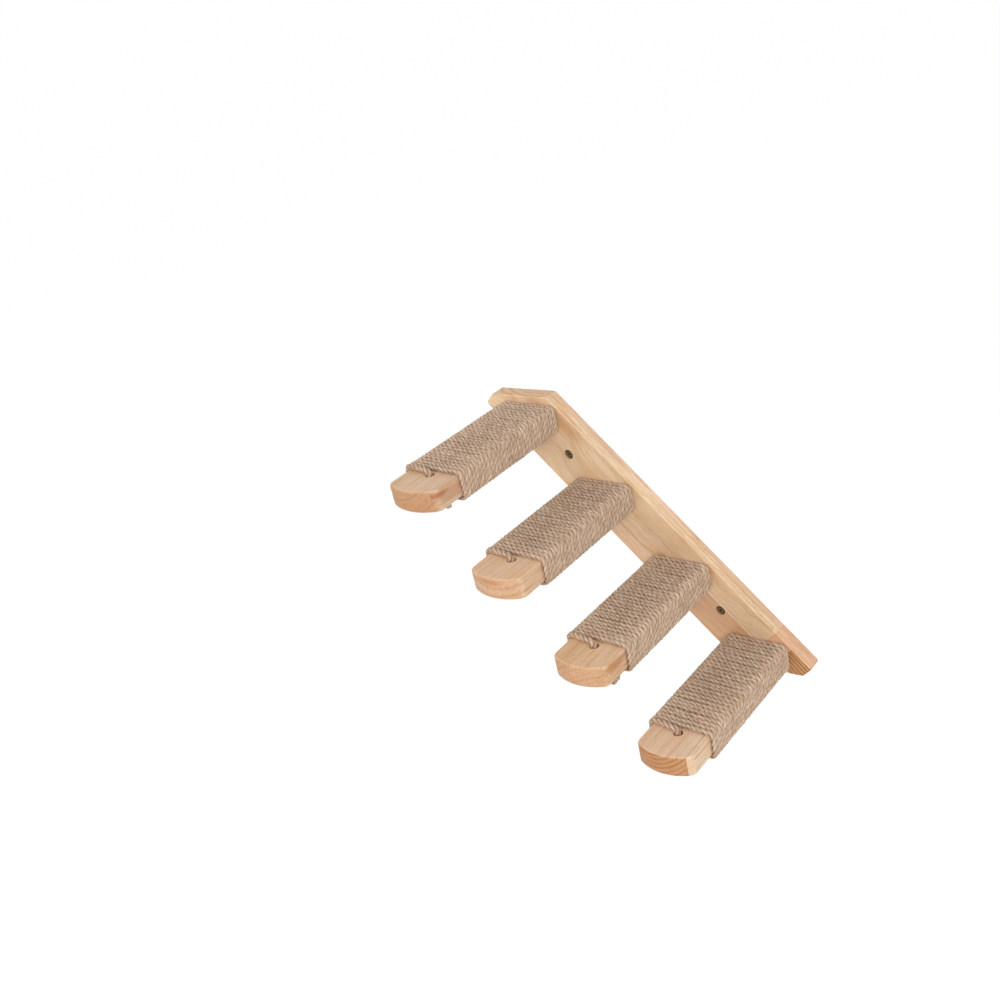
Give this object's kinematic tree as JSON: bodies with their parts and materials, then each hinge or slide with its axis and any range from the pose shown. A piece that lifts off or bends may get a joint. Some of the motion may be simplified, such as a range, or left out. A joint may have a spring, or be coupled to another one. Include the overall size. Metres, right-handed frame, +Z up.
{
  "type": "cat ladder",
  "caption": "Slanting wall board carrying level rope-wound wooden steps with rounded bare noses, for a cat to climb; screwed to a wall through its front.",
  "frame": {"origin": "centre of the board's back face, on the wall", "axes": "+X right along the wall, +Y into the wall, +Z up; the steps point to -Y"},
  "size_m": [0.3644, 0.257, 0.2954],
  "materials": {
    "board_wood": "clear satin rubberwood, edge-glued staves",
    "step_wood": "clear satin rubberwood with end grain at the nose",
    "rope": "three-strand jute rope",
    "staple_steel": "bright wire",
    "screw_steel": "yellow zinc plate",
    "wall_screw_steel": "dark bronze plate"
  },
  "bodies": {
    "root": {"backboard": "board_wood", "step_plank_1": "step_wood", "step_plank_2": "step_wood", "step_plank_3": "step_wood", "step_plank_4": "step_wood", "rope_winding_1": "rope", "rope_winding_2": "rope", "rope_winding_3": "rope", "rope_winding_4": "rope", "rope_staple_1": "staple_steel", "rope_staple_2": "staple_steel", "rope_staple_3": "staple_steel", "rope_staple_4": "staple_steel", "step_screw_1_left": "screw_steel", "step_screw_1_right": "screw_steel", "step_screw_2_left": "screw_steel", "step_screw_2_right": "screw_steel", "step_screw_3_left": "screw_steel", "step_screw_3_right": "screw_steel", "step_screw_4_left": "screw_steel", "step_screw_4_right": "screw_steel", "wall_screw_upper": "wall_screw_steel", "wall_screw_lower": "wall_screw_steel"}
  },
  "joints": []
}
